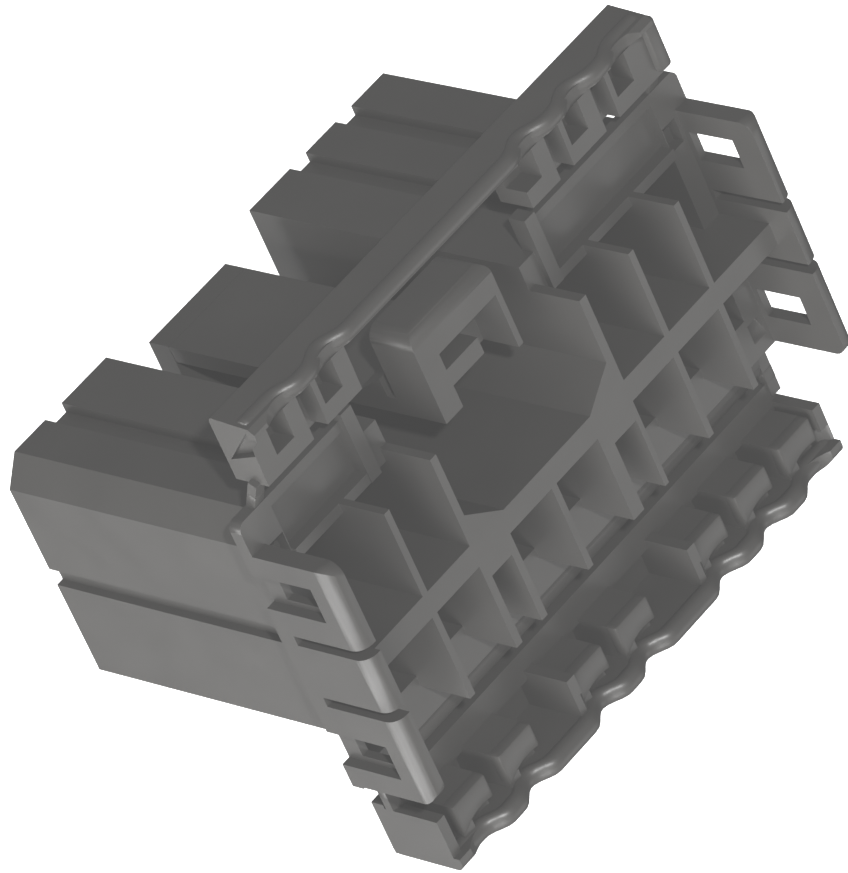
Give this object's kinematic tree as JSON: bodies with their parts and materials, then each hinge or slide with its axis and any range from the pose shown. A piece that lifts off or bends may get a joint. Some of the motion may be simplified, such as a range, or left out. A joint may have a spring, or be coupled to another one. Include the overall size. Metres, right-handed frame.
{
  "type": "wire to board connector housing",
  "caption": "Moulded plug housing with two rows of contact cavities, a sprung latch lever with a thumb pad, and two hinged retainer flaps standing open.",
  "frame": {"origin": "middle of the web between the two rows of cavities, on the mating face, which the part stands on", "axes": "+Z from the mating face to the wire side, +Y towards the latch lever, +X along the rows of cavities"},
  "size_m": [0.0354, 0.0287, 0.0236],
  "materials": {
    "black_polymer": "satin as-moulded black polymer, slightly warm"
  },
  "bodies": {
    "housing": {"housing": "black_polymer"},
    "latch_lever": {"latch_lever": "black_polymer"},
    "upper_retainer": {"upper_retainer": "black_polymer"},
    "lower_retainer": {"lower_retainer": "black_polymer"}
  },
  "joints": [
    {"name": "lever_press", "type": "hinge", "parent": "housing", "child": "latch_lever", "pos_m": [-0.00193, 0.0054, 0.0014], "axis": [1, 0, 0], "range_deg": [0, 5], "stiffness_Nm_per_rad": 1.4},
    {"name": "upper_retainer_close", "type": "hinge", "parent": "housing", "child": "upper_retainer", "pos_m": [0, 0.00838, 0.01675], "axis": [1, 0, 0], "range_deg": [0, 90]},
    {"name": "lower_retainer_close", "type": "hinge", "parent": "housing", "child": "lower_retainer", "pos_m": [0, -0.00762, 0.01645], "axis": [-1, 0, 0], "range_deg": [0, 90]}
  ]
}
